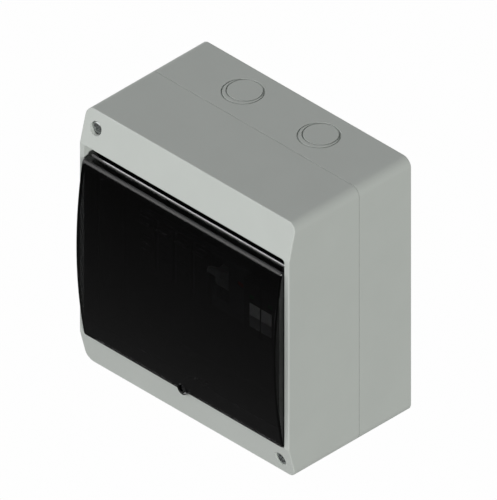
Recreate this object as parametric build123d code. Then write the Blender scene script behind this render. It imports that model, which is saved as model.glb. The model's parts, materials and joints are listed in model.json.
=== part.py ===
"""Wall-mounted DC combiner box for two photovoltaic strings.

Frame: the origin is the middle of the flat back face, +X is right when facing the box,
the front looks towards -Y and +Z is up. Depths are counted forward from the back face,
so a depth d lies at y = -d. All sizes are millimetres.
"""
import os
from math import cos, radians, sin, sqrt

from build123d import *

# ---------------------------------------------------------------- driving dimensions
WIDTH = 200.5
HEIGHT = 210.0
EDGE_DEPTH = 110.0        # depth at the top and bottom front edges
FACE_DEPTH = 117.0        # depth of the flat cheeks beside the door
DOOR_DEPTH = 125.7        # depth at the crown of the door
SPLIT_DEPTH = 49.5        # where the base ends and the cover begins
TOP_BAND = 27.7           # height of the slanted band above the door
BOTTOM_BAND = 25.8        # height of the slanted band below the door
WALL = 2.6
CORNER_RADIUS = 7.2       # four long edges of the casing
FRONT_EDGE_RADIUS = 0.8

MODULE = 17.5             # pitch of one modular device
MODULES = 8
MODULE_GAP = 0.2          # air between neighbouring devices
RAIL_FACE = 28.0          # depth of the mounting plane of the rail
NOSE_HALF = 22.5          # half height of the front nose of a device
DEVICE_HALF = 45.0        # half height of a device
SHOULDER_DEPTH = 72.0
NOSE_DEPTH = 88.0

# ---------------------------------------------------------------- casing details
SEAM = 0.2                # half of the gap between base and cover
RIM = 6.2                 # width of the rim that carries the seal
RIM_RADIUS = 2.6
GROOVE = (2.8, 5.0)       # inset of the two sides of the seal groove
GROOVE_DEPTH = 2.5
CHEEK = 4.3               # thickness of the cheeks beside the door
RECESS_WALL = 2.5
RECESS_CORNER = 2.7
PANEL_DEPTH = 76.0        # front of the panel that surrounds the devices
MASK_THICKNESS = 2.0
APERTURE_HALF = (71.0, 23.2)
KNOCKOUT_X = 36.4
KNOCKOUT_DEPTH = 24.3
KNOCKOUT_RINGS = ((14.7, 0.0), (12.7, 1.9))   # radius, shift towards the back
RING_WIDTH = 0.9
RING_DEPTH = 1.2
WALL_HOLE = (82.0, 70.0)
WALL_HOLE_RADIUS = 2.5
WALL_COLLAR = (5.5, 8.0)

COVER_SCREWS = ((-88.4, 92.5), (88.4, -92.5))
TOWER_RADIUS = 6.5
SCREW_RADIUS = 2.0
SCREW_SEAT = 108.4
SCREW_END = 36.0
HEAD_RADIUS = 4.8
HEAD_HEIGHT = 3.6
COUNTERBORE_RADIUS = 5.2

# ---------------------------------------------------------------- door
DOOR_GAP = 0.5            # air between the door and the cheeks
DOOR_WALL = 2.4
DOOR_TOP = HEIGHT / 2 - 35.5      # top of the rear of the door
ROLL_TOP = HEIGHT / 2 - 37.5      # top of the rounded front edge
ROLL_RADIUS = 3.6
COVE = (115.6, 70.8, 3.3)         # depth, height and radius of the groove behind that edge
DOOR_CORNER = 2.2
DOOR_BACK = 104.0         # depth of the rear edge of the door's rim
DOOR_RADIUS = 395.0       # the door is part of a large cylinder about X
DOOR_CROWN_Z = -1.5
DOOR_EDGE_RADIUS = 1.5
HINGE = (111.0, 62.5)     # depth and height of the door hinge
PIN_RADIUS = 1.5
RUNNING = 0.05            # radial clearance of a shaft that turns in its hole
LOCK_Z = -76.2
LOCK_BOSS_RADIUS = 4.7
LOCK_BARREL_RADIUS = 3.0
LOCK_FRONT = 118.9
LOCK_SINK = (4.3, 1.2)    # radius and depth of the countersink in front of the barrel
LIP = (102.0, 104.4)      # depths of the lip that the lock hooks behind

RECESS_TOP = HEIGHT / 2 - TOP_BAND
RECESS_BOTTOM = BOTTOM_BAND - HEIGHT / 2
RECESS_HALF = WIDTH / 2 - CHEEK
DOOR_HALF = RECESS_HALF - DOOR_GAP
DOOR_BOTTOM = RECESS_BOTTOM + 0.4

# ---------------------------------------------------------------- devices
TERMINAL_Z = 36.0
TERMINAL_DEPTH = 44.0     # depth of the conductor axis in every terminal
TERMINAL_BORE = 2.9
LEAD_RADIUS = 2.2
TOOTH_DEPTH = 54.0        # depth of the teeth of the comb busbars
CARRIER_PIVOT = (80.0, -19.5)
CARRIER_SWING_RADIUS = 41.7
CARRIER_HALF = 6.75
FUSE_DEPTH = 70.0
FUSE_RADIUS = 5.15
FUSE_Z = (-19.3, 18.5)
TOGGLE_PIVOT = (80.5, 2.0)
TOGGLE_HUB = 8.6
TOGGLE_REACH = 20.6
TOGGLE_ANGLE = 38.0       # above the horizontal when switched on
TOGGLE_WIDTH = 11.6
CARTRIDGE_DEPTH = (50.0, 95.0)
CARTRIDGE_HALF = 22.0
LABEL_WIDTH = 9.7
LABEL_Z = (-14.3, 4.8)
CLIP_WIDTH = 8.0

BUSBAR_THICKNESS = 2.2
TOOTH_WIDTH = 7.6
EARTH_Z = 82.0            # height of the earth bar
EARTH_X = 52.0
EARTH_POSTS = (EARTH_X - 22, EARTH_X + 22)
EARTH_HOLES = [EARTH_X + offset for offset in (-15, -7.5, 0, 7.5, 15)]

GLAND_THREAD = 12.4       # radius over the thread
GLAND_BORE = 9.0
GLAND_HEX = 33.0          # across flats
GLAND_DEPTH = KNOCKOUT_DEPTH - KNOCKOUT_RINGS[1][1]
WASHER_THICKNESS = 1.5
GLAND_OUTSIDE = -HEIGHT / 2 - WASHER_THICKNESS   # underside of the washer
CABLE_RADIUS = 2.6
CABLE_CIRCLE = 5.6        # radius of the circle on which the cable holes lie

ACROSS = dict(x_dir=(0, -1, 0), z_dir=(-1, 0, 0))


# ---------------------------------------------------------------- basic shapes
def module_x(number):
    """Middle of device place 1 to 8, counted from the left."""
    return (number - (MODULES + 1) / 2) * MODULE


def block(x, d, z):
    """Box between two x, two depths and two heights."""
    size = (x[1] - x[0], d[1] - d[0], z[1] - z[0])
    return Pos(sum(x) / 2, -sum(d) / 2, sum(z) / 2) * Box(*size)


def outline(sketch, d):
    """Front-view sketch extruded between two depths."""
    return extrude(Plane.XZ.offset(d[0]) * sketch, d[1] - d[0])


def side(sketch, x):
    """Side-view sketch (depth, height) extruded between two x."""
    return extrude(Plane((x[1], 0, 0), **ACROSS) * sketch, x[1] - x[0])


def shape(*points):
    """Closed polygon face through the points."""
    return make_face(Polyline(*points, close=True))


def rod_y(x, z, radius, d):
    return outline(Pos(x, z) * Circle(radius), d)


def rod_x(depth, z, radius, x):
    return side(Pos(depth, z) * Circle(radius), x)


def rod_z(x, depth, radius, z):
    return Pos(x, -depth, (z[0] + z[1]) / 2) * Cylinder(radius, z[1] - z[0])


def casing_outline(inset, radius):
    return RectangleRounded(WIDTH - 2 * inset, HEIGHT - 2 * inset, radius)


def write(name, *solids):
    """One node: one solid, or several separate ones."""
    shape_out = solids[0] if len(solids) == 1 else Compound(children=list(solids))
    shape_out.label = name
    export_step(shape_out, f"parts/{name}.step")


# ---------------------------------------------------------------- casing
def knockout_rings(x, up):
    """Grooves of one eccentric double knock-out in the top or bottom wall."""
    face = HEIGHT / 2
    cuts = []
    for radius, shift in KNOCKOUT_RINGS:
        ring = Circle(radius + RING_WIDTH / 2) - Circle(radius - RING_WIDTH / 2)
        place = Pos(x, -(KNOCKOUT_DEPTH - shift), up * face)
        cuts.append(place * extrude(ring, RING_DEPTH, both=True))
    return cuts


def base_shell():
    front = SPLIT_DEPTH - SEAM
    shell = outline(casing_outline(0, CORNER_RADIUS), (0, front))
    shell -= outline(casing_outline(WALL, CORNER_RADIUS - WALL), (WALL, front - RIM))
    shell -= outline(casing_outline(RIM, RIM_RADIUS), (front - RIM, front))
    groove = casing_outline(GROOVE[0], CORNER_RADIUS - GROOVE[0])
    groove -= casing_outline(GROOVE[1], RIM_RADIUS)
    shell -= outline(groove, (front - GROOVE_DEPTH, front))
    for x, z in COVER_SCREWS:
        shell += rod_y(x, z, TOWER_RADIUS, (WALL, front))
        shell -= rod_y(x, z, SCREW_RADIUS + 0.1, (SCREW_END - 3, front))
    for x in (-60, 60):
        shell += rod_y(x, 0, 5.5, (WALL, RAIL_FACE - 7.5))
        shell -= rod_y(x, 0, SCREW_RADIUS + 0.05, (8, RAIL_FACE - 7.5))
    for x in (-WALL_HOLE[0], WALL_HOLE[0]):
        for z in (-WALL_HOLE[1], WALL_HOLE[1]):
            shell += rod_y(x, z, WALL_COLLAR[0], (WALL, WALL_COLLAR[1]))
            shell -= rod_y(x, z, WALL_HOLE_RADIUS, (0, WALL_COLLAR[1]))
    for x in EARTH_POSTS:
        shell += rod_y(x, EARTH_Z, 4.0, (WALL, 10))
    for x in (-KNOCKOUT_X, KNOCKOUT_X):
        for up in (-1, 1):
            for cut in knockout_rings(x, up):
                shell -= cut
        shell -= rod_z(x, GLAND_DEPTH, KNOCKOUT_RINGS[1][0], (-HEIGHT / 2 - 1, WALL - HEIGHT / 2))
    return shell


def casing_side(inset, back):
    """Side view of the cover, moved inwards by the wall."""
    top = HEIGHT / 2 - inset
    return shape(
        (back, top),
        (EDGE_DEPTH - inset, top),
        (FACE_DEPTH - inset, RECESS_TOP),
        (FACE_DEPTH - inset, RECESS_BOTTOM),
        (EDGE_DEPTH - inset, -top),
        (back, -top),
    )


def cover_block():
    """Outside of the cover with its rounded edges."""
    back = SPLIT_DEPTH + SEAM
    body = side(casing_side(0, back), (-WIDTH / 2, WIDTH / 2))
    body &= outline(casing_outline(0, CORNER_RADIUS), (back, FACE_DEPTH + 1))
    front = [edge for edge in body.edges() if -edge.center().Y > EDGE_DEPTH - 2]
    bends = body.edges().filter_by(Axis.X).filter_by(lambda edge: abs(edge.center().Z) < HEIGHT / 2 - 1)
    return fillet([edge for edge in front if edge not in bends], FRONT_EDGE_RADIUS)


def cover_cavity():
    """Hollow of the cover behind the recess for the door."""
    back = SPLIT_DEPTH + SEAM
    rim_end = back + RIM
    hollow = side(casing_side(WALL, rim_end), (WALL - WIDTH / 2, WIDTH / 2 - WALL))
    hollow &= outline(casing_outline(WALL, CORNER_RADIUS - WALL), (rim_end, FACE_DEPTH))
    hollow += outline(casing_outline(RIM, RIM_RADIUS), (back, rim_end))
    hollow -= block(
        (-WIDTH / 2, WIDTH / 2),
        (PANEL_DEPTH - RECESS_WALL, FACE_DEPTH),
        (RECESS_BOTTOM - RECESS_WALL, RECESS_TOP + RECESS_WALL),
    )
    return hollow


def lock_pocket():
    """Notch for the lock boss, and pocket for the cam behind the lip."""
    notch = rod_y(0, LOCK_Z, LOCK_BOSS_RADIUS + 0.6, (LIP[1], FACE_DEPTH + 2))
    pocket = rod_y(0, LOCK_Z, 6.5, (97.5, LIP[0]))
    return notch + pocket


def aperture(margin):
    """Opening round the noses of the devices, wider by the margin on every side."""
    half_x, half_z = (half + margin for half in APERTURE_HALF)
    through = (PANEL_DEPTH - RECESS_WALL - 1, PANEL_DEPTH + MASK_THICKNESS + 1)
    return block((-half_x, half_x), through, (-half_z, half_z))


def device_mask():
    """Dark plate that lies on the floor of the recess and frames the devices."""
    half = RECESS_HALF - 0.3
    heights = (RECESS_BOTTOM + 0.3, RECESS_TOP - 0.3)
    plate = block((-half, half), (PANEL_DEPTH, PANEL_DEPTH + MASK_THICKNESS), heights)
    corners = plate.edges().filter_by(Axis.Y)
    return fillet(corners, 2.0) - aperture(0)


def front_cover():
    cover = cover_block() - cover_cavity()
    cover += block((-10, 10), (95, 114), (LOCK_Z - 9.5, RECESS_BOTTOM - 1))
    opening = RectangleRounded(2 * RECESS_HALF, RECESS_TOP - RECESS_BOTTOM, RECESS_CORNER)
    middle = (RECESS_TOP + RECESS_BOTTOM) / 2
    cover -= outline(Pos(0, middle) * opening, (PANEL_DEPTH, FACE_DEPTH + 1))
    cover -= aperture(4.0)
    cover -= lock_pocket()
    for x, z in COVER_SCREWS:
        cover += rod_y(x, z, TOWER_RADIUS, (SPLIT_DEPTH + SEAM, EDGE_DEPTH))
        cover -= rod_y(x, z, SCREW_RADIUS + 0.3, (SPLIT_DEPTH, FACE_DEPTH))
        cover -= rod_y(x, z, COUNTERBORE_RADIUS, (SCREW_SEAT, FACE_DEPTH))
    for x in hinge_spans(RECESS_HALF - 1, RECESS_HALF + 2.7):
        cover -= rod_x(*HINGE, PIN_RADIUS + 0.02, x)
    return cover


def cover_seal():
    ring = casing_outline(GROOVE[0] + 0.1, CORNER_RADIUS - GROOVE[0] - 0.1)
    ring -= casing_outline(GROOVE[1] - 0.1, RIM_RADIUS + 0.1)
    return outline(ring, (SPLIT_DEPTH - SEAM - GROOVE_DEPTH + 0.05, SPLIT_DEPTH + SEAM - 0.05))


def cross_slot(x, z, front, reach, width=1.1, depth=1.4):
    """Cross recess in a screw head that looks forward."""
    cut = block((x - reach, x + reach), (front - depth, front + 1), (z - width / 2, z + width / 2))
    cut += block((x - width / 2, x + width / 2), (front - depth, front + 1), (z - reach, z + reach))
    return cut


def machine_screw(x, z, seat, end, radius, head_radius, head_height):
    """Pan-head screw whose head looks forward."""
    head = rod_y(x, z, head_radius, (seat, seat + head_height))
    rim = [e for e in head.edges().filter_by(GeomType.CIRCLE) if -e.center().Y > seat + 0.1]
    head = fillet(rim, head_height * 0.45)
    screw = head + rod_y(x, z, radius, (end, seat))
    return screw - cross_slot(x, z, seat + head_height, head_radius * 0.6)


# ---------------------------------------------------------------- door
def hinge_spans(inner, outer):
    """The same stretch of X at both ends of the hinge."""
    return ((-outer, -inner), (inner, outer))


def door_skin_depth(z, inset=0.0):
    """Depth of the door's outer surface at a height."""
    radius = DOOR_RADIUS - inset
    return DOOR_DEPTH - DOOR_RADIUS + sqrt(radius**2 - (z - DOOR_CROWN_Z) ** 2)


def door_side(inset, back, high):
    """Side view of the door up to a height, with its front and bottom moved inwards."""
    low = DOOR_BOTTOM + inset
    arc = ThreePointArc(
        (door_skin_depth(low, inset), low),
        (DOOR_DEPTH - inset, DOOR_CROWN_Z),
        (door_skin_depth(high, inset), high),
    )
    rest = Polyline(arc @ 1, (back, high), (back, low), arc @ 0)
    return make_face([arc, rest])


def door_skin():
    """Outside of the door: bowed front, rounded top edge and the groove behind it."""
    step = Rectangle(DOOR_DEPTH - COVE[0], 20, align=(Align.MIN, Align.MIN))
    face = door_side(0, DOOR_BACK, DOOR_TOP) - Pos(COVE[0], ROLL_TOP) * step
    roll = [v for v in face.vertices() if v.X > FACE_DEPTH and v.Y > ROLL_TOP - 0.1]
    body = side(fillet(roll, ROLL_RADIUS), (-DOOR_HALF, DOOR_HALF))
    corners = [e for e in body.edges().filter_by(Axis.Y) if e.center().Z < DOOR_BOTTOM + 1]
    body = fillet(corners, DOOR_CORNER)
    front = [e for e in body.edges() if -e.center().Y > FACE_DEPTH + 0.5]
    rim = [e for e in front if e.center().Z < ROLL_TOP - ROLL_RADIUS]
    return fillet(rim, DOOR_EDGE_RADIUS) - rod_x(*COVE, (-DOOR_HALF, DOOR_HALF))


def door():
    body = door_skin() - side(
        door_side(DOOR_WALL, DOOR_BACK - 1, ROLL_TOP - DOOR_WALL),
        (DOOR_WALL - DOOR_HALF, DOOR_HALF - DOOR_WALL),
    )
    boss_in = DOOR_HALF - DOOR_WALL - 2.6
    for x in hinge_spans(boss_in, DOOR_HALF - 0.2):
        body += rod_x(*HINGE, 3.6, x)
    for x in hinge_spans(boss_in - 1, DOOR_HALF + 1):
        body -= rod_x(*HINGE, PIN_RADIUS + RUNNING, x)
    body += rod_y(0, LOCK_Z, LOCK_BOSS_RADIUS, (LIP[1] + 0.6, LOCK_FRONT))
    body -= rod_y(0, LOCK_Z, LOCK_BARREL_RADIUS + RUNNING, (107, LOCK_FRONT + 1))
    body -= rod_y(0, LOCK_Z, 1.5 + RUNNING, (LIP[0], 108))
    radius, depth = LOCK_SINK
    sink = Cone(radius, radius - depth, depth)
    return body - Pos(0, -(LOCK_FRONT - depth / 2), LOCK_Z) * Rot(90, 0, 0) * sink


def hinge_pins():
    inner = DOOR_HALF - DOOR_WALL - 2.6
    return [rod_x(*HINGE, PIN_RADIUS, x) for x in hinge_spans(inner, RECESS_HALF + 2.6)]


def lock_barrel():
    """Turning plug of the door lock with a slot for a coin or screwdriver."""
    front = LOCK_FRONT - LOCK_SINK[1]
    barrel = rod_y(0, LOCK_Z, LOCK_BARREL_RADIUS, (107.1, front))
    rim = [e for e in barrel.edges().filter_by(GeomType.CIRCLE) if -e.center().Y > front - 0.1]
    barrel = fillet(rim, 1.6) + rod_y(0, LOCK_Z, 1.5, (101.3, 107.1))
    return barrel - block((-2.4, 2.4), (front - 1.2, front + 1), (LOCK_Z - 0.4, LOCK_Z + 0.4))


def lock_cam():
    """Cam that lies level when the door is free and hooks behind the lip when turned."""
    bar = block((-5.2, 5.2), (98.6, 101.3), (LOCK_Z - 1.5, LOCK_Z + 1.5))
    return bar & rod_y(0, LOCK_Z, 5.2, (98, 102))


# ---------------------------------------------------------------- rail
def din_rail():
    lip, half = 12.5, 17.5
    back = RAIL_FACE - 7.5
    hat = shape(
        (back, -lip - 1), (RAIL_FACE - 1, -lip - 1), (RAIL_FACE - 1, -half), (RAIL_FACE, -half),
        (RAIL_FACE, -lip), (back + 1, -lip), (back + 1, lip), (RAIL_FACE, lip),
        (RAIL_FACE, half), (RAIL_FACE - 1, half), (RAIL_FACE - 1, lip + 1), (back, lip + 1),
    )
    rail = side(hat, (-75, 75))
    for x in (-60, 60):
        rail -= rod_y(x, 0, SCREW_RADIUS + 0.3, (back - 1, back + 2))
    for x in range(-40, 41, 20):
        rail -= outline(Pos(x, 0) * SlotOverall(14, 5.4), (back - 1, back + 2))
    return rail


def rail_screws():
    seat = RAIL_FACE - 6.5
    return [machine_screw(x, 0, seat, 10, SCREW_RADIUS, 3.6, 2.2) for x in (-60, 60)]


# ---------------------------------------------------------------- modular devices
def device_span(first, last):
    """X range of a device that fills the places first to last."""
    half = MODULE / 2 - MODULE_GAP / 2
    return (module_x(first) - half, module_x(last) + half)


def clip_channel(x):
    """Room for the sliding foot behind the lower half of a device."""
    half = CLIP_WIDTH / 2 + 0.3
    return block((x - half, x + half), (22, 27.3), (-DEVICE_HALF - 1, -14))


def device_body(first, last):
    """Stepped housing with rail feet and a terminal at the top and bottom of each place."""
    span = device_span(first, last)
    steps = shape(
        (23.5, -DEVICE_HALF), (SHOULDER_DEPTH, -DEVICE_HALF), (SHOULDER_DEPTH, -NOSE_HALF),
        (NOSE_DEPTH, -NOSE_HALF), (NOSE_DEPTH, NOSE_HALF), (SHOULDER_DEPTH, NOSE_HALF),
        (SHOULDER_DEPTH, DEVICE_HALF), (23.5, DEVICE_HALF), (23.5, 17.9), (RAIL_FACE + 0.1, 17.9),
        (RAIL_FACE + 0.1, -17.9), (23.5, -17.9),
    )
    body = side(steps, span)
    edges = [e for e in body.edges().filter_by(Axis.X) if -e.center().Y > SHOULDER_DEPTH - 1]
    body = fillet(edges, 0.9)
    body += block(span, (24.6, 26.7), (15.3, 18.5))
    middle = sum(span) / 2
    body -= clip_channel(middle)
    for number in range(first, last + 1):
        x = module_x(number)
        for up in (-1, 1):
            z = up * TERMINAL_Z
            body -= rod_y(x, z, 3.0, (50, SHOULDER_DEPTH + 1))
            deep = sorted((up * (TERMINAL_Z - 5.5), up * (DEVICE_HALF + 1)))
            body -= rod_z(x, TERMINAL_DEPTH, TERMINAL_BORE, deep)
            slot = sorted((up * (TERMINAL_Z - 4), up * (DEVICE_HALF + 1)))
            body -= block((x - 4.5, x + 4.5), (TOOTH_DEPTH - 2.2, TOOTH_DEPTH + 1.2), slot)
            body -= block((x - 5, x + 5), (39, 50.5), (z - 5.2, z + 5.2))
    return body


def rail_clip(first, last):
    """Sliding foot that locks a device under the lower lip of the rail."""
    x = sum(device_span(first, last)) / 2
    half = CLIP_WIDTH / 2
    clip = block((x - half, x + half), (24.4, 26.7), (-49.5, -15.3))
    clip -= block((x - 2, x + 2), (24, 27), (-47.8, -45.6))
    return clip


def terminal_screw(number, up):
    x, z = module_x(number), up * TERMINAL_Z
    seat = TOOTH_DEPTH + 0.3
    screw = rod_y(x, z, 2.8, (seat, seat + 3.5)) + rod_y(x, z, 2.0, (48.6, seat))
    return screw - cross_slot(x, z, seat + 3.5, 2.1, width=0.9)


def terminal_clamp(number, up):
    """Brass cage with a hole for the conductor and one for the screw."""
    x, z = module_x(number), up * TERMINAL_Z
    cage = block((x - 4.8, x + 4.8), (39.3, 50.2), (z - 5, z + 5))
    cage -= rod_z(x, TERMINAL_DEPTH, 2.5, (z - 6, z + 6))
    return cage - rod_y(x, z, 2.1, (TERMINAL_DEPTH, 51))


def fuse_holder(number):
    """Housing of one fuse place, open at the front for its swinging carrier."""
    body = device_body(number, number)
    x = module_x(number)
    half = CARRIER_HALF + 0.35
    wide = (x - half, x + half)
    deep = (58, NOSE_DEPTH + 1)
    swing = rod_x(*CARRIER_PIVOT, CARRIER_SWING_RADIUS + 0.4, wide)
    body -= swing & block(wide, deep, (-10, NOSE_HALF + 1))
    body -= block(wide, deep, (-NOSE_HALF + 0.5, 0))
    body -= block(wide, (SHOULDER_DEPTH - 1, NOSE_DEPTH + 1), (-NOSE_HALF - 1, 0))
    for contact_z in ((12, 33), (-33, -12)):
        body -= block((x - 4.3, x + 4.3), (52, 66), contact_z)
    ears = (x - half - 1.2, x + half + 1.2)
    return body - rod_x(*CARRIER_PIVOT, PIN_RADIUS + RUNNING, ears)


def fuse_contact(number, up):
    """Copper strip from the terminal to the end cap of the fuse."""
    x = module_x(number)
    strip = block((x - 3.8, x + 3.8), (63.4, 64.4), (12.6, 31.2))
    strip += block((x - 3.8, x + 3.8), (52.6, 64.4), (30.2, 31.2))
    return strip if up > 0 else mirror(strip, Plane.XY)


def fuse_carrier(number):
    """Pull-out carrier that swings forward about its lower end."""
    x = module_x(number)
    wide = (x - CARRIER_HALF, x + CARRIER_HALF)
    reach = rod_x(*CARRIER_PIVOT, CARRIER_SWING_RADIUS, wide)
    body = block(wide, (62, 90), (-21, 30)) & reach
    lip = side(
        shape((88, 15.5), (93.6, 17.2), (94.2, 18.6), (93.4, 19.9), (88, 20.6)),
        (x - 5.4, x + 5.4),
    )
    body += lip
    body -= block((x - 5.3, x + 5.3), (61, 76.2), (FUSE_Z[0] - 0.3, FUSE_Z[1] + 0.3))
    body -= block((x - 5.3, x + 5.3), (61, 65.6), (-30, 30))
    for z in (-6, 0, 6):
        body -= block((x - 4.4, x + 4.4), (89.2, 91), (z - 0.6, z + 0.6))
    trunnions = (x - CARRIER_HALF - 1.3, x + CARRIER_HALF + 1.3)
    body += rod_x(*CARRIER_PIVOT, PIN_RADIUS, trunnions)
    return body


def fuse_link(number):
    """Cylindrical fuse with its two end caps."""
    x = module_x(number)
    link = rod_z(x, FUSE_DEPTH, FUSE_RADIUS - 0.35, FUSE_Z)
    link += rod_z(x, FUSE_DEPTH, FUSE_RADIUS, (FUSE_Z[0], FUSE_Z[0] + 10))
    return link + rod_z(x, FUSE_DEPTH, FUSE_RADIUS, (FUSE_Z[1] - 10, FUSE_Z[1]))


def breaker_body():
    """Two-pole switch housing with one lever slot over its left pole."""
    body = device_body(5, 6)
    x = module_x(5)
    half = TOGGLE_WIDTH / 2 + 0.3
    body -= rod_x(*TOGGLE_PIVOT, TOGGLE_HUB + 0.4, (x - half, x + half))
    body -= block((x - half, x + half), (TOGGLE_PIVOT[0] + 1, NOSE_DEPTH + 1), (-13, 17))
    body -= rod_x(*TOGGLE_PIVOT, PIN_RADIUS + RUNNING, (x - half - 1.3, x + half + 1.3))
    window = module_x(6)
    return body - block((window - 3.5, window + 3.5), (NOSE_DEPTH - 0.8, NOSE_DEPTH + 1), (6, 10))


def breaker_toggle():
    """Lever of the breaker, switched on."""
    x = module_x(5)
    half = TOGGLE_WIDTH / 2
    hub = rod_x(*TOGGLE_PIVOT, TOGGLE_HUB, (x - half, x + half))
    hub &= block((x - half, x + half), (70, 95), (-8, 12))
    root, tip = 5.0, TOGGLE_REACH
    lever = shape(
        (0, -3.4), (root, -3.4), (tip - 1, -2.1), (tip, -1.0),
        (tip, 1.0), (tip - 1, 2.1), (root, 3.4), (0, 3.4),
    )
    lever = side(Pos(*TOGGLE_PIVOT) * Rot(0, 0, TOGGLE_ANGLE) * lever, (x - half, x + half))
    axle = rod_x(*TOGGLE_PIVOT, PIN_RADIUS, (x - half - 1.2, x + half + 1.2))
    return hub + lever + axle


def surge_base():
    """Socket for the two plug-in surge cartridges."""
    body = device_body(7, 8)
    span = device_span(7, 8)
    wide = (span[0] - 1, span[1] + 1)
    half = CARTRIDGE_HALF + 0.3
    body -= block(wide, (CARTRIDGE_DEPTH[0] - 0.3, NOSE_DEPTH + 1), (-NOSE_HALF - 1, NOSE_HALF + 1))
    body += block(span, (CARTRIDGE_DEPTH[0] - 4, SHOULDER_DEPTH - 0.5), (half, NOSE_HALF + 4))
    body += block(span, (CARTRIDGE_DEPTH[0] - 4, SHOULDER_DEPTH - 0.5), (-NOSE_HALF - 4, -half))
    for number in (7, 8):
        x = module_x(number)
        for z in (-12, 12):
            body -= block((x - 1.2, x + 1.2), (36, 51), (z - 4.4, z + 4.4))
    return body


def surge_cartridge(number):
    """Plug-in cartridge with finger grooves on its top and bottom."""
    x = module_x(number)
    half = MODULE / 2 - 0.35
    body = block((x - half, x + half), CARTRIDGE_DEPTH, (-CARTRIDGE_HALF, CARTRIDGE_HALF))
    front = [edge for edge in body.edges() if -edge.center().Y > CARTRIDGE_DEPTH[1] - 0.1]
    body = fillet(front, 0.8)
    for up in (-1, 1):
        for depth in (80, 84, 88):
            z = up * CARTRIDGE_HALF
            body -= block((x - 5, x + 5), (depth - 0.8, depth + 0.8), (z - 0.7, z + 0.7))
    body -= block((x - 2.5, x + 2.5), (CARTRIDGE_DEPTH[1] - 0.6, 100), (8, 12))
    return body


def surge_label(number):
    """Label on the front of a cartridge, on the side where the two cartridges meet."""
    towards = 1 if number == 7 else -1
    near = module_x(number) + towards * (MODULE / 2 - 0.8)
    far = near - towards * LABEL_WIDTH
    front = CARTRIDGE_DEPTH[1]
    return block(sorted((near, far)), (front, front + 0.3), LABEL_Z)


def surge_blades(number):
    """Two flat contact blades behind a cartridge."""
    x = module_x(number)
    depths = (CARTRIDGE_DEPTH[0] - 12, CARTRIDGE_DEPTH[0])
    return [block((x - 0.9, x + 0.9), depths, (z - 4, z + 4)) for z in (-12, 12)]


# ---------------------------------------------------------------- conductors
def comb_busbar(first, last):
    """Copper comb with forked teeth that joins the upper terminals of neighbouring places."""
    left, right = module_x(first), module_x(last)
    back = TOOTH_DEPTH - 1.6
    bar = block((left - 6, right + 6), (back, back + BUSBAR_THICKNESS), (47, 57))
    for number in range(first, last + 1):
        x = module_x(number)
        wide = (x - TOOTH_WIDTH / 2, x + TOOTH_WIDTH / 2)
        bar += block(wide, (TOOTH_DEPTH - 1.4, TOOTH_DEPTH + 0.1), (TERMINAL_Z - 3, 48))
        bar -= block((x - 2.3, x + 2.3), (TOOTH_DEPTH - 2, TOOTH_DEPTH + 1), (0, TERMINAL_Z + 2.5))
    return bar


def lead(points, radii):
    """Round insulated lead along straight runs joined by tangent arcs."""
    path = FilletPolyline(*points, radius=radii)
    section = Plane(origin=path @ 0, z_dir=path % 0) * Circle(LEAD_RADIUS)
    tube = sweep(section, path=path)
    ideal = section.area * path.length
    print(f"lead {path.length:.1f} mm, radii {radii}, volume ratio {tube.volume / ideal:.4f}")
    return tube


def arch(start, end, up, height, radius):
    """Lead that leaves one terminal and comes back into another."""
    y = -TERMINAL_DEPTH
    inside = up * (TERMINAL_Z + 3)
    points = (
        (module_x(start), y, inside),
        (module_x(start), y, up * height),
        (module_x(end), y, up * height),
        (module_x(end), y, inside),
    )
    return lead(points, radius)


def earth_bar():
    """Brass terminal bar for the protective earth."""
    bar = block((EARTH_X - 19, EARTH_X + 19), (14, 22), (EARTH_Z - 4, EARTH_Z + 4))
    for x in EARTH_HOLES:
        bar -= rod_z(x, 18, 2.5, (EARTH_Z - 5, EARTH_Z + 5))
        bar -= rod_y(x, EARTH_Z, 1.8, (18, 23))
    return bar


def earth_bar_screws():
    screws = []
    for x in EARTH_HOLES:
        screw = rod_y(x, EARTH_Z, 1.7, (20.6, 26)) + rod_y(x, EARTH_Z, 2.6, (24, 26.2))
        screws.append(screw - block((x - 2.7, x + 2.7), (25.2, 27), (EARTH_Z - 0.4, EARTH_Z + 0.4)))
    return screws


def earth_bar_holder():
    """Plastic bracket that carries the earth bar on two posts of the base."""
    holder = block((EARTH_X - 27, EARTH_X + 27), (10, 13.8), (EARTH_Z - 5, EARTH_Z + 5))
    for x in (EARTH_X - 23.5, EARTH_X + 23.5):
        holder += block((x - 3.5, x + 3.5), (10, 22), (EARTH_Z - 5, EARTH_Z + 5))
    return holder


def earth_lead():
    """Lead from the surge protector to the earth bar."""
    x, y = module_x(7), -TERMINAL_DEPTH
    bar_x = EARTH_HOLES[1]
    points = (
        (x, y, TERMINAL_Z + 3),
        (x, y, 64),
        (bar_x, -18, 64),
        (bar_x, -18, EARTH_Z + 2),
    )
    return lead(points, 9)


# ---------------------------------------------------------------- cable glands
def hexagon(x, depth, z, across=GLAND_HEX):
    """Hexagonal prism about a vertical axis."""
    side_face = RegularPolygon(across / sqrt(3), 6)
    prism = extrude(side_face, z[1] - z[0])
    return Pos(x, -depth, z[0]) * prism


def gland_body(x):
    """Threaded body that stands through the bottom wall."""
    outside = GLAND_OUTSIDE
    body = hexagon(x, GLAND_DEPTH, (outside - 6, outside))
    body += rod_z(x, GLAND_DEPTH, GLAND_THREAD, (outside - 1, -HEIGHT / 2 + 12))
    body += rod_z(x, GLAND_DEPTH, 13.4, (outside - 16, outside - 5))
    body -= rod_z(x, GLAND_DEPTH, GLAND_BORE, (outside - 20, -HEIGHT / 2 + 13))
    return body - rod_z(x, GLAND_DEPTH, 11.2, (outside - 17, outside - 7))


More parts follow.
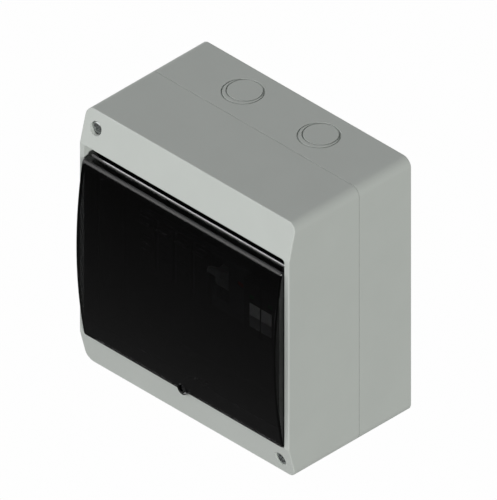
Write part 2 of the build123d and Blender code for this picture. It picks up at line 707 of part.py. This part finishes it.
def gland_nut(x):
    """Domed clamping nut screwed on the outer end of the body."""
    top = GLAND_OUTSIDE - 6.3
    nut = hexagon(x, GLAND_DEPTH, (top - 12, top))
    nut += rod_z(x, GLAND_DEPTH, 15.8, (top - 16, top - 11))
    rim = [e for e in nut.edges().filter_by(GeomType.CIRCLE) if e.center().Z < top - 15.9]
    nut = fillet(rim, 3.0)
    nut -= rod_z(x, GLAND_DEPTH, 13.6, (top - 11.5, top + 1))
    return nut - rod_z(x, GLAND_DEPTH, 10.4, (top - 17, top - 10))


def gland_insert(x, holes):
    """Rubber insert with one hole for each cable."""
    top = GLAND_OUTSIDE - 7.2
    plug = rod_z(x, GLAND_DEPTH, 11.0, (top - 10, top))
    plug += rod_z(x, GLAND_DEPTH, 10.2, (top - 14, top - 9))
    for hole in range(holes):
        turn = radians(45 + 360 * hole / holes)
        hole_x = x + CABLE_CIRCLE * cos(turn)
        hole_depth = GLAND_DEPTH + CABLE_CIRCLE * sin(turn)
        plug -= rod_z(hole_x, hole_depth, CABLE_RADIUS, (top - 15, top + 1))
    return plug


def gland_washer(x):
    z = (GLAND_OUTSIDE, -HEIGHT / 2)
    return rod_z(x, GLAND_DEPTH, 14.6, z) - rod_z(x, GLAND_DEPTH, GLAND_THREAD + 0.1, z)


def gland_locknut(x):
    z = (-HEIGHT / 2 + WALL, -HEIGHT / 2 + WALL + 6)
    return hexagon(x, GLAND_DEPTH, z, 32.0) - rod_z(x, GLAND_DEPTH, GLAND_THREAD + 0.05, z)


# ---------------------------------------------------------------- assembly
def write_casing():
    write("base_shell", base_shell())
    write("cover_seal", cover_seal())
    write("front_cover", front_cover())
    write("device_mask", device_mask())
    screws = [
        machine_screw(x, z, SCREW_SEAT, SCREW_END, SCREW_RADIUS, HEAD_RADIUS, HEAD_HEIGHT)
        for x, z in COVER_SCREWS
    ]
    write("cover_screws", *screws)
    write("door", door())
    write("door_hinge_pins", *hinge_pins())
    write("door_lock_barrel", lock_barrel())
    write("door_lock_cam", lock_cam())


def write_devices():
    write("din_rail", din_rail())
    write("rail_screws", *rail_screws())
    for number in range(1, 5):
        write(f"fuse_holder_{number}", fuse_holder(number))
        write(f"fuse_carrier_{number}", fuse_carrier(number))
        write(f"fuse_link_{number}", fuse_link(number))
        write(f"rail_clip_{number}", rail_clip(number, number))
    write("breaker_body", breaker_body())
    write("breaker_toggle", breaker_toggle())
    write("rail_clip_5", rail_clip(5, 6))
    write("surge_base", surge_base())
    write("rail_clip_6", rail_clip(7, 8))
    for number in (1, 2):
        write(f"surge_cartridge_{number}", surge_cartridge(6 + number))
        write(f"surge_blades_{number}", *surge_blades(6 + number))
        write(f"surge_label_{number}", surge_label(6 + number))
    ends = [(number, up) for number in range(1, MODULES + 1) for up in (-1, 1)]
    write("terminal_screws", *[terminal_screw(*end) for end in ends])
    write("terminal_clamps", *[terminal_clamp(*end) for end in ends])
    write("fuse_contacts", *[fuse_contact(*end) for end in ends if end[0] <= 4])


def write_conductors():
    write("positive_busbar", comb_busbar(1, 2))
    write("negative_busbar", comb_busbar(3, 4))
    write("positive_lead", arch(2, 6, 1, 72, 16))
    write("negative_lead", arch(4, 5, 1, 62, 8.7))
    write("surge_positive_lead", arch(6, 7, -1, 62, 8.7))
    write("surge_negative_lead", arch(5, 8, -1, 72, 16))
    write("earth_lead", earth_lead())
    write("earth_bar", earth_bar())
    write("earth_bar_screws", *earth_bar_screws())
    write("earth_bar_holder", earth_bar_holder())


def write_glands():
    places = (-KNOCKOUT_X, KNOCKOUT_X)
    write("gland_washers", *[gland_washer(x) for x in places])
    write("gland_locknuts", *[gland_locknut(x) for x in places])
    for name, x, holes in (("string", places[0], 4), ("output", places[1], 3)):
        write(f"{name}_gland_body", gland_body(x))
        write(f"{name}_gland_nut", gland_nut(x))
        write(f"{name}_gland_insert", gland_insert(x, holes))


os.makedirs("parts", exist_ok=True)
write_casing()
write_devices()
write_conductors()
write_glands()
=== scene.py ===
"""Looks of the DC combiner box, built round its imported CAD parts. Lengths are metres."""

import json

import bmesh
import bpy
from mathutils import Matrix, Vector


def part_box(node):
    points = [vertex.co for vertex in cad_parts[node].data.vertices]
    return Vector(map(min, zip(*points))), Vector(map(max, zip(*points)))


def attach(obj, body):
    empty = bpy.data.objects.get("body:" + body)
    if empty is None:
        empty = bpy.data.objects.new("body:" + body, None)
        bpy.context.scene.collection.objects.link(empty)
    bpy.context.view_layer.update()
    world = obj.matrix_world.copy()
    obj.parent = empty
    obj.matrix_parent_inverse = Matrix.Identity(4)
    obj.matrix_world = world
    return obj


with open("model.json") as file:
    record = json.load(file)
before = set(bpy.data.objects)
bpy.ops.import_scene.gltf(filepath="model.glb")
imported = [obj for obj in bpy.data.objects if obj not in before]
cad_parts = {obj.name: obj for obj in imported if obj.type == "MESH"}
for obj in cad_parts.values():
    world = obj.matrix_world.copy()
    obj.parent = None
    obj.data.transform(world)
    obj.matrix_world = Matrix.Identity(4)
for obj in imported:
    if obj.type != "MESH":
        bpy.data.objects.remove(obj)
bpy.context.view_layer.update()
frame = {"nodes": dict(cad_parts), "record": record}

MM = 0.001

# ---------------------------------------------------------------- view and light
VIEW_DIRECTION = Vector((1, -1, 1)).normalized()   # from the object to the camera
VIEW_TARGET = Vector((-0.0056, -0.0498, 0.0016))
VIEW_HEIGHT = 0.3386
VIEW_DISTANCE = 2
KEY_DIRECTION = Vector((0.60, -0.30, 0.08))
KEY_STRENGTH = 2.12
KEY_SPREAD = 0.35
FILL_DIRECTION = Vector((-0.60, 0.75, -0.08))
FILL_STRENGTH = 1.5
FILL_SPREAD = 0.6
PANEL_DIRECTION = Vector((-0.62, -0.78, 0.05)).normalized()
PANEL_LEVEL = 2.7          # brightness at the middle of the wide soft panel
FLOOR_LEVEL = 0.105       # brightness of the surroundings straight below
SKY_LEVEL = 0.04           # and well above eye level
HORIZON = (-0.25, 0.45)    # heights between which the surroundings brighten
BACKDROP = 0.99
FLOOR_HEIGHT = -0.45
FLOOR_RADIUS = 0.24


WELL = (                   # corners of the space behind the door, where the casing is painted near-black as shade
    Vector((-96.1, -104.6, -79.4)) * MM,
    Vector((96.1, -73.5, 77.5)) * MM,
)
# near-black painted shade for the casing inside the well
WELL_PAINTED_SHADE = (0.02, 0.02, 0.021)


# ---------------------------------------------------------------- shader graphs
class Graph:
    """Principled material whose pattern nodes are added one call at a time."""

    def __init__(self, name):
        self.material = bpy.data.materials.new(name)
        self.material.use_nodes = True
        self.tree = self.material.node_tree
        self.shader = self.tree.nodes["Principled BSDF"]
        self.place = self.add("ShaderNodeTexCoord").outputs["Object"]

    def add(self, kind, settings=None, **inputs):
        node = self.tree.nodes.new(kind)
        for key, value in (settings or {}).items():
            setattr(node, key, value)
        for key, value in inputs.items():
            self.feed(node.inputs[key.replace("_", " ")], value)
        return node

    def feed(self, socket, value):
        if isinstance(value, bpy.types.NodeSocket):
            self.tree.links.new(value, socket)
        elif socket.type == "RGBA" and len(value) == 3:
            socket.default_value = (*value, 1)
        else:
            socket.default_value = value

    def set(self, **inputs):
        for key, value in inputs.items():
            self.feed(self.shader.inputs[key.replace("_", " ")], value)

    def noise(self, size, detail=2.0, stretch=None):
        """Noise whose features are about that size in metres."""
        place = self.place
        if stretch:
            place = self.add("ShaderNodeMapping", Vector=place, Scale=stretch).outputs[0]
        return self.add("ShaderNodeTexNoise", Vector=place, Scale=1 / size, Detail=detail).outputs[0]

    def cells(self, size):
        return self.add("ShaderNodeTexVoronoi", Vector=self.place, Scale=1 / size).outputs[0]

    def between(self, value, low, high, start=0.0, end=1.0):
        """Value moved from the range start to end into the range low to high."""
        node = self.add("ShaderNodeMapRange", Value=value)
        for key, number in zip(("From Min", "From Max", "To Min", "To Max"), (start, end, low, high)):
            node.inputs[key].default_value = number
        return node.outputs[0]

    def math(self, operation, first, second):
        node = self.add("ShaderNodeMath", {"operation": operation})
        self.feed(node.inputs[0], first)
        self.feed(node.inputs[1], second)
        return node.outputs[0]

    def blend(self, share, first, second):
        """Colour that goes from the first to the second with the share."""
        node = self.add("ShaderNodeMix", {"data_type": "RGBA"})
        self.feed(node.inputs[0], share)
        self.feed(node.inputs[6], first)
        self.feed(node.inputs[7], second)
        return node.outputs[2]

    def axis(self, name):
        """One coordinate of the place, as it is at rest."""
        return self.add("ShaderNodeSeparateXYZ", Vector=self.place).outputs[name]

    def inside(self, low, high):
        """1 between two corners of the rest position, and 0 outside them."""
        share = 1.0
        for name, start, end in zip("XYZ", low, high):
            value = self.axis(name)
            share = self.math("MULTIPLY", share, self.math("GREATER_THAN", value, start))
            share = self.math("MULTIPLY", share, self.math("LESS_THAN", value, end))
        return share

    def edges(self, radius):
        """1 on sharp edges and 0 on flat faces, with the softened normal."""
        soft = self.add("ShaderNodeBevel", {"samples": 4}, Radius=radius).outputs[0]
        flat = self.add("ShaderNodeNewGeometry").outputs["Normal"]
        dot = self.add("ShaderNodeVectorMath", {"operation": "DOT_PRODUCT"})
        self.feed(dot.inputs[0], soft)
        self.feed(dot.inputs[1], flat)
        return self.between(dot.outputs["Value"], 1.0, 0.0, 0.72, 0.98), soft

    def bump(self, height, depth, normal=None, strength=1.0):
        """Surface relief of that depth in metres."""
        node = self.add("ShaderNodeBump", Height=height, Distance=depth, Strength=strength)
        if normal is not None:
            self.feed(node.inputs["Normal"], normal)
        return node.outputs[0]


def tint(colour, factor):
    return tuple(channel * factor for channel in colour)


def moulded(name, colour, roughness, grain=0.45 * MM, relief=0.02 * MM, wear=0.12, specular=0.5, well=None):
    """Moulded plastic: eroded grain, flow mottling, rubbed edges, and near-black painted shade inside the
    well.
    """
    g = Graph(name)
    edge, soft = g.edges(0.35 * MM)
    flow = g.noise(28 * MM, 4.0)
    fine = g.noise(grain, 3.0)
    body = g.blend(flow, tint(colour, 0.97), tint(colour, 1.03))
    body = g.blend(g.between(fine, 0.0, 0.10), body, tint(colour, 0.8))
    rubbed = g.math("MULTIPLY", edge, g.between(g.noise(4 * MM, 4.0), 0.2, 1.0, 0.35, 0.65))
    lighter = tuple(min(1.0, channel * 1.25 + 0.02) for channel in colour)
    body = g.blend(g.math("MULTIPLY", rubbed, wear), body, lighter)
    # painted shade: inside the well the casing colour is replaced with near-black
    if well:
        body = g.blend(g.inside(*well), body, WELL_PAINTED_SHADE)
    rough = g.between(fine, roughness - 0.05, roughness + 0.05)
    rough = g.math("ADD", rough, g.between(flow, -0.03, 0.03))
    rough = g.math("SUBTRACT", rough, g.math("MULTIPLY", rubbed, 0.08))
    g.set(Base_Color=body, Roughness=rough, Specular_IOR_Level=specular)
    g.set(Normal=g.bump(fine, relief, soft))
    return g.material


def metal(name, colour, roughness, tarnish, brush=None):
    """Machined or plated metal with fine scratches and a little tarnish."""
    g = Graph(name)
    edge, soft = g.edges(0.2 * MM)
    stain = g.between(g.noise(5 * MM, 5.0), 0.0, 1.0, 0.35, 0.7)
    scratch = g.noise(0.25 * MM, 3.0, brush or (1, 1, 0.12))
    body = g.blend(g.math("MULTIPLY", stain, 0.55), colour, tarnish)
    body = g.blend(g.math("MULTIPLY", edge, 0.35), body, tuple(min(1.0, c * 1.2) for c in colour))
    rough = g.math("ADD", g.between(scratch, roughness - 0.08, roughness + 0.08), g.between(stain, 0.0, 0.12))
    g.set(Base_Color=body, Metallic=1.0, Roughness=rough)
    g.set(Normal=g.bump(scratch, 0.006 * MM, soft))
    return g.material


def insulation(name, colour, stripe=None):
    """Extruded cable sheath, satin, with the faint drag lines of the die."""
    g = Graph(name)
    drag = g.noise(0.5 * MM, 2.0, (1, 1, 0.05))
    mottle = g.noise(9 * MM, 3.0)
    body = g.blend(mottle, tint(colour, 0.9), tint(colour, 1.1))
    if stripe:
        across = g.add("ShaderNodeTexCoord").outputs["Normal"]
        side = g.add("ShaderNodeSeparateXYZ", Vector=across).outputs["X"]
        share = g.between(g.math("ABSOLUTE", side, 0.0), 0.0, 1.0, 0.62, 0.70)
        body = g.blend(share, body, stripe)
    g.set(Base_Color=body, Roughness=g.between(drag, 0.38, 0.5), Specular_IOR_Level=0.45)
    g.set(Normal=g.bump(drag, 0.02 * MM))
    return g.material


def smoked_window():
    """Smoked polycarbonate: polished, with a trace of handling marks."""
    g = Graph("smoked_window")
    haze = g.noise(14 * MM, 5.0)
    marks = g.noise(1.2 * MM, 4.0, (0.15, 1, 1))
    rough = g.math("ADD", g.between(haze, 0.003, 0.008, 0.3, 0.7), g.between(marks, 0.0, 0.006, 0.55, 0.75))
    colour = g.blend(haze, (0.19, 0.19, 0.193), (0.22, 0.22, 0.223))
    g.set(Base_Color=colour, Roughness=rough, Transmission_Weight=1.0, IOR=1.5)
    g.set(Normal=g.bump(g.noise(45 * MM, 1.0), 0.05 * MM))
    return g.material


def seal_rubber():
    """Foamed rubber with open cells."""
    g = Graph("seal_rubber")
    cell = g.cells(0.45 * MM)
    dust = g.noise(8 * MM, 4.0)
    dusty = g.blend(g.between(dust, 0.0, 0.5), (0.012, 0.012, 0.012), (0.04, 0.04, 0.038))
    g.set(Base_Color=dusty)
    g.set(Roughness=g.between(cell, 0.75, 0.95), Specular_IOR_Level=0.25)
    g.set(Normal=g.bump(cell, 0.1 * MM))
    return g.material


def fuse_ceramic():
    """Glazed ceramic tube between two plated end caps."""
    low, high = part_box("fuse_link_1")[0].z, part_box("fuse_link_1")[1].z
    cap = 10 * MM
    g = Graph("ceramic")
    z = g.axis("Z")
    middle = (low + high) / 2
    away = g.math("ABSOLUTE", g.math("SUBTRACT", z, middle), 0.0)
    is_cap = g.math("GREATER_THAN", away, (high - low) / 2 - cap)
    speck = g.noise(1.5 * MM, 4.0)
    tube = g.blend(g.between(speck, 0.0, 1.0, 0.4, 0.7), (0.78, 0.76, 0.70), (0.68, 0.65, 0.58))
    plated = g.blend(speck, (0.70, 0.69, 0.66), (0.58, 0.57, 0.54))
    g.set(Base_Color=g.blend(is_cap, tube, plated), Metallic=is_cap)
    g.set(Roughness=g.between(speck, 0.22, 0.38), Normal=g.bump(speck, 0.01 * MM))
    return g.material


def label_foil():
    """Blank foil, pale on its upper half and dark grey on its lower half, with a matt paper-like grain."""
    low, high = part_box("surge_label_1")[0].z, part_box("surge_label_1")[1].z
    g = Graph("label_plate")
    fibre = g.noise(0.6 * MM, 4.0)
    is_pale = g.math("GREATER_THAN", g.axis("Z"), (low + high) / 2)
    pale = g.blend(fibre, (0.84, 0.84, 0.83), (0.9, 0.9, 0.89))
    dark = g.blend(fibre, (0.26, 0.265, 0.27), (0.32, 0.325, 0.33))
    g.set(Base_Color=g.blend(is_pale, dark, pale), Roughness=g.between(fibre, 0.45, 0.6))
    g.set(Normal=g.bump(fibre, 0.01 * MM))
    return g.material


def flag_enamel(name, colour):
    """Small coloured indicator behind a clear lens."""
    g = Graph(name)
    grain = g.noise(0.4 * MM, 3.0)
    body = g.blend(grain, tint(colour, 0.85), tint(colour, 1.1))
    g.set(Base_Color=body, Roughness=g.between(grain, 0.2, 0.3))
    g.set(Coat_Weight=0.6, Coat_Roughness=0.08, Normal=g.bump(grain, 0.005 * MM))
    return g.material


MATERIALS = {
    "casing_plastic": moulded(
        "casing_plastic", (0.60, 0.63, 0.605), 0.5, wear=0.25, specular=0.35, well=WELL,
    ),
    "smoked_window": smoked_window(),
    "seal_rubber": seal_rubber(),
    "zinc_steel": metal("zinc_steel", (0.54, 0.57, 0.57), 0.30, (0.40, 0.41, 0.39)),
    "lock_plastic": moulded("lock_plastic", (0.014, 0.014, 0.015), 0.38, relief=0.01 * MM),
    "device_dark": moulded("device_dark", (0.045, 0.048, 0.052), 0.5),
    "device_black": moulded("device_black", (0.016, 0.016, 0.017), 0.42),
    "device_grey": moulded("device_grey", (0.30, 0.31, 0.31), 0.4),
    "ceramic": fuse_ceramic(),
    "brass_parts": metal("brass_parts", (0.80, 0.62, 0.28), 0.3, (0.42, 0.30, 0.13)),
    "copper_parts": metal("copper_parts", (0.86, 0.47, 0.31), 0.3, (0.42, 0.20, 0.12)),
    "lead_red": insulation("lead_red", (0.42, 0.02, 0.016)),
    "lead_black": insulation("lead_black", (0.014, 0.014, 0.014)),
    "lead_earth": insulation("lead_earth", (0.03, 0.22, 0.035), (0.72, 0.60, 0.03)),
    "label_plate": label_foil(),
    "gland_plastic": moulded("gland_plastic", (0.24, 0.25, 0.25), 0.42, grain=0.7 * MM),
}


def dress_cad_nodes():
    """Every CAD node gets the material of the slot that the record gives it."""
    slot_of = {part["node"]: part["material_slot"] for part in frame["record"]["subparts"]}
    for name, node in frame["nodes"].items():
        for place in node.material_slots:
            place.material = MATERIALS[slot_of[name]]


# ---------------------------------------------------------------- small added pieces
def plate(name, low, high, bevel, material, slot, body):
    """Flat rounded plate between two corners, riding on a body."""
    mesh = bpy.data.meshes.new(name)
    form = bmesh.new()
    size = Vector(high) - Vector(low)
    middle = (Vector(high) + Vector(low)) / 2
    bmesh.ops.create_cube(form, size=1, matrix=Matrix.Translation(middle) @ Matrix.Diagonal((*size, 1)))
    bmesh.ops.bevel(form, geom=form.edges[:], offset=bevel, segments=3, profile=0.5, affect="EDGES")
    form.to_mesh(mesh)
    form.free()
    for face in mesh.polygons:
        face.use_smooth = True
    mesh.materials.append(material)
    piece = bpy.data.objects.new(name, mesh)
    bpy.context.scene.collection.objects.link(piece)
    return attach(piece, body)


def add_indicators():
    """Status flags in the windows of the surge cartridges and of the breaker."""
    green = flag_enamel("flag_green", (0.02, 0.16, 0.05))
    red = flag_enamel("flag_red", (0.30, 0.01, 0.01))
    for number in (1, 2):
        low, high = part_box(f"surge_cartridge_{number}")
        x = (low.x + high.x) / 2
        floor = low.y + 0.6 * MM
        corners = ((x - 2.3 * MM, floor - 0.3 * MM, 8.2 * MM), (x + 2.3 * MM, floor, 11.8 * MM))
        name = f"surge_flag_{number}"
        plate(name, *corners, 0.12 * MM, green, "label_plate", f"cartridge_{number}")
    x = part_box("breaker_body")[1].x - 8.65 * MM
    floor = -87.2 * MM
    corners = ((x - 3.3 * MM, floor - 0.3 * MM, 6.2 * MM), (x + 3.3 * MM, floor, 9.8 * MM))
    plate("breaker_flag", *corners, 0.12 * MM, red, "label_plate", "casing")


# ---------------------------------------------------------------- studio
def add_floor():
    """Pale round floor far below, fading out at its rim."""
    mesh = bpy.data.meshes.new("floor")
    form = bmesh.new()
    bmesh.ops.create_circle(form, cap_ends=True, segments=96, radius=FLOOR_RADIUS)
    form.to_mesh(mesh)
    form.free()
    floor = bpy.data.objects.new("floor", mesh)
    floor.location = (0, VIEW_TARGET.y, FLOOR_HEIGHT)
    bpy.context.scene.collection.objects.link(floor)
    g = Graph("floor_paint")
    length = g.add("ShaderNodeVectorMath", {"operation": "LENGTH"})
    g.feed(length.inputs[0], g.place)
    cover = g.between(length.outputs["Value"], 1.0, 0.0, FLOOR_RADIUS * 0.55, FLOOR_RADIUS)
    g.set(Base_Color=(0.88, 0.88, 0.87), Roughness=g.between(g.noise(3 * MM), 0.6, 0.7), Alpha=cover)
    g.set(Emission_Color=(1, 1, 1), Emission_Strength=0.5)
    mesh.materials.append(g.material)


def add_sun(name, towards, strength, spread, colour, in_window=True):
    """Sun whose disc does or does not show in and through the polished window."""
    light = bpy.data.lights.new(name, "SUN")
    light.energy = strength
    light.angle = spread
    light.color = colour
    lamp = bpy.data.objects.new(name, light)
    lamp.rotation_euler = towards.to_track_quat("Z", "Y").to_euler()
    lamp.visible_glossy = in_window
    lamp.visible_transmission = in_window
    bpy.context.scene.collection.objects.link(lamp)


def add_world():
    """White backdrop, and dimmer surroundings that light the box and show in its gloss."""
    world = bpy.data.worlds.new("studio")
    world.use_nodes = True
    bpy.context.scene.world = world
    nodes, links = world.node_tree.nodes, world.node_tree.links

    def calc(kind, operation, first, second):
        node = nodes.new(kind)
        node.operation = operation
        for socket, value in zip(node.inputs, (first, second)):
            if isinstance(value, bpy.types.NodeSocket):
                links.new(value, socket)
            else:
                socket.default_value = value
        return node.outputs["Value"]

    place = nodes.new("ShaderNodeTexCoord").outputs["Generated"]
    split = nodes.new("ShaderNodeSeparateXYZ")
    links.new(place, split.inputs[0])
    height = split.outputs["Z"]
    facing = calc("ShaderNodeVectorMath", "DOT_PRODUCT", place, PANEL_DIRECTION)
    facing = calc("ShaderNodeMath", "MAXIMUM", facing, 0.0)
    panel = calc("ShaderNodeMath", "MULTIPLY", calc("ShaderNodeMath", "POWER", facing, 2.0), PANEL_LEVEL)
    rise = nodes.new("ShaderNodeMapRange")
    rise.interpolation_type = "SMOOTHSTEP"
    rise.inputs["From Min"].default_value, rise.inputs["From Max"].default_value = HORIZON
    links.new(height, rise.inputs["Value"])
    upper = calc("ShaderNodeMath", "ADD", panel, SKY_LEVEL)
    upper = calc("ShaderNodeMath", "MULTIPLY", upper, rise.outputs[0])
    lower = calc("ShaderNodeMath", "MULTIPLY", height, -FLOOR_LEVEL)
    level = calc("ShaderNodeMath", "ADD", upper, calc("ShaderNodeMath", "MAXIMUM", lower, 0.0))
    path = nodes.new("ShaderNodeLightPath")
    mix = nodes.new("ShaderNodeMix")
    mix.data_type = "RGBA"
    links.new(path.outputs["Is Camera Ray"], mix.inputs[0])
    links.new(level, mix.inputs[6])
    mix.inputs[7].default_value = (BACKDROP, BACKDROP, BACKDROP, 1)
    links.new(mix.outputs[2], nodes["Background"].inputs["Color"])


def add_camera():
    data = bpy.data.cameras.new("camera")
    data.type = "ORTHO"
    data.ortho_scale = VIEW_HEIGHT
    camera = bpy.data.objects.new("camera", data)
    camera.location = VIEW_TARGET + VIEW_DIRECTION * VIEW_DISTANCE
    camera.rotation_euler = VIEW_DIRECTION.to_track_quat("Z", "Y").to_euler()
    bpy.context.scene.collection.objects.link(camera)
    bpy.context.scene.camera = camera


dress_cad_nodes()
add_indicators()
add_floor()
add_sun("key", KEY_DIRECTION, KEY_STRENGTH, KEY_SPREAD, (0.99, 1.0, 0.97))
add_sun("fill", FILL_DIRECTION, FILL_STRENGTH, FILL_SPREAD, (1.0, 1.0, 1.0), in_window=False)
add_world()
add_camera()
bpy.context.scene.view_settings.view_transform = "Standard"
